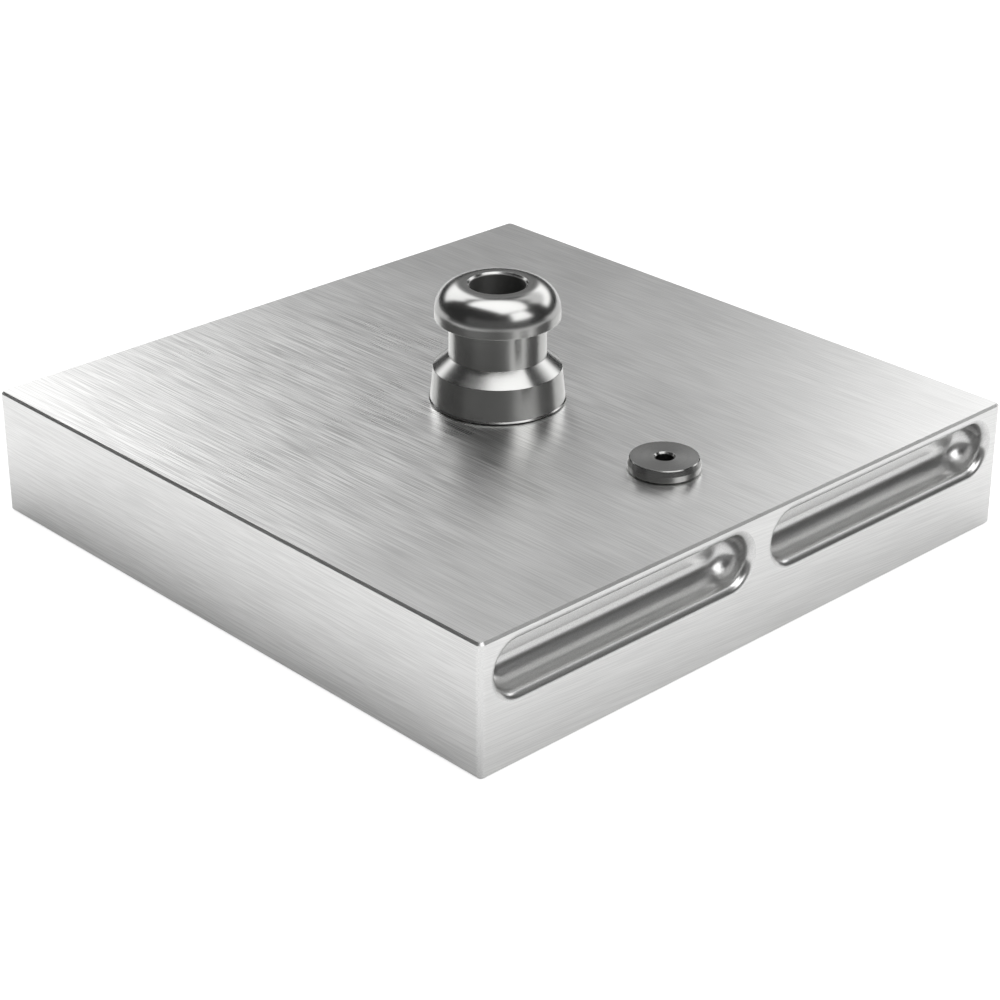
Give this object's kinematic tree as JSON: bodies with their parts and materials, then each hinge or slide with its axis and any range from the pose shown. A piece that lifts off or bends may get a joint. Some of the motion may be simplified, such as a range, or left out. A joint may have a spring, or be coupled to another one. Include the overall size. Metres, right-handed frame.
{
  "type": "cnc clamping pallet",
  "caption": "Square aluminium machining pallet with a central steel clamping knob, a timing button and slotted grip pockets in two sides.",
  "frame": {"origin": "middle of the plate's flat workpiece face, on the knob's axis", "axes": "+Z from the workpiece face to the machine side, along the knob's axis; +X from the knob to the timing button; the grip pockets are in the +X and -X sides"},
  "size_m": [0.2032, 0.2032, 0.0731],
  "materials": {
    "brushed_aluminium": "brushed",
    "polished_steel": "polished",
    "ground_steel": "ground",
    "black_oxide_steel": "black oxide",
    "insert_steel": "turned"
  },
  "bodies": {
    "root": {"pallet_plate": "brushed_aluminium", "clamping_knob": "polished_steel", "knob_screw": "black_oxide_steel", "thread_insert": "insert_steel", "insert_locking_keys": "insert_steel", "timing_button": "ground_steel"}
  },
  "joints": []
}
